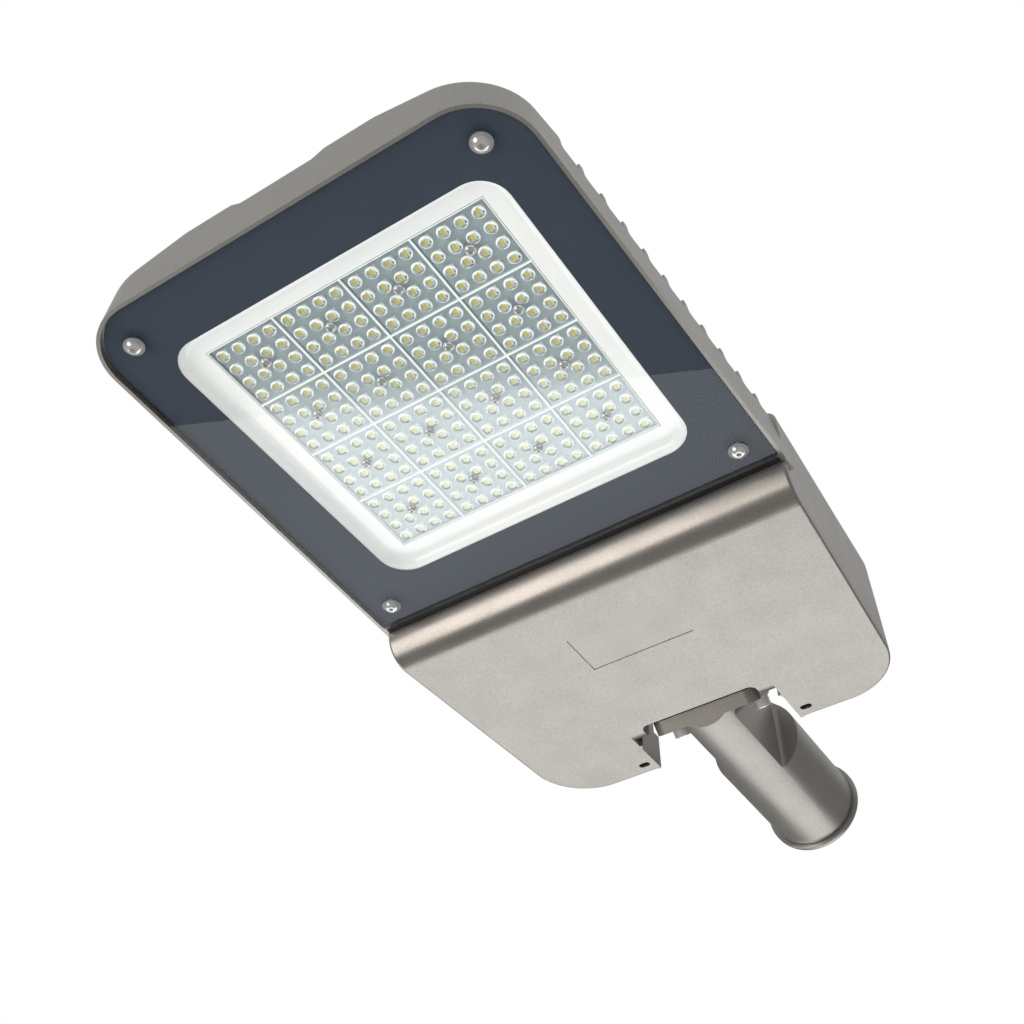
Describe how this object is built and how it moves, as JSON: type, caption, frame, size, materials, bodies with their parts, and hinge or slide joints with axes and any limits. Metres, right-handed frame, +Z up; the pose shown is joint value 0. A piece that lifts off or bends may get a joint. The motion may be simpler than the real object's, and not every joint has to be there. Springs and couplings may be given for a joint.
{
  "type": "LED street light head",
  "caption": "Flat cast street light head with a finned top, glass-covered LED lens array, rear driver cover and a fixed spigot for the pole arm.",
  "frame": {"origin": "centre of the spigot's mouth, on the axis of its socket", "axes": "+X from the spigot's mouth towards the tip of the head, +Y across, +Z up; the glass faces -Z"},
  "size_m": [0.7066, 0.3164, 0.0977],
  "materials": {
    "painted_aluminium": "satin textured powder coat",
    "rubber": "matt silicone",
    "steel_fasteners": "bright stainless",
    "black_screws": "blackened",
    "glass": "clear with a dark printed border",
    "nylon": "matt",
    "white_tray": "matt white",
    "lens_plastic": "clear moulded acrylic",
    "circuit_board": "pale solder mask on aluminium",
    "led_phosphor": "yellow phosphor",
    "driver_case": "satin",
    "moulded_plastic": "matt"
  },
  "bodies": {
    "root": {"cover_screws": "black_screws", "cover_seal": "rubber", "driver": "driver_case", "driver_cover": "painted_aluminium", "driver_screws": "steel_fasteners", "glass_gasket": "rubber", "glass_pane": "glass", "glass_screw_sleeves": "nylon", "glass_screws": "steel_fasteners", "housing": "painted_aluminium", "lead_gland": "rubber", "led_board_1": "circuit_board", "led_board_2": "circuit_board", "led_board_3": "circuit_board", "led_board_4": "circuit_board", "led_chips_1": "led_phosphor", "led_chips_2": "led_phosphor", "led_chips_3": "led_phosphor", "led_chips_4": "led_phosphor", "lens_module_1_1": "lens_plastic", "lens_module_1_2": "lens_plastic", "lens_module_1_3": "lens_plastic", "lens_module_1_4": "lens_plastic", "lens_module_2_1": "lens_plastic", "lens_module_2_2": "lens_plastic", "lens_module_2_3": "lens_plastic", "lens_module_2_4": "lens_plastic", "lens_module_3_1": "lens_plastic", "lens_module_3_2": "lens_plastic", "lens_module_3_3": "lens_plastic", "lens_module_3_4": "lens_plastic", "lens_module_4_1": "lens_plastic", "lens_module_4_2": "lens_plastic", "lens_module_4_3": "lens_plastic", "lens_module_4_4": "lens_plastic", "lens_screws": "steel_fasteners", "pole_set_screws": "steel_fasteners", "reflector_tray": "white_tray", "spigot": "painted_aluminium", "spigot_bolts": "steel_fasteners", "spigot_gasket": "rubber", "spigot_washers": "steel_fasteners", "surge_protector": "moulded_plastic", "terminal_and_surge_screws": "steel_fasteners", "terminal_block": "moulded_plastic"}
  },
  "joints": []
}
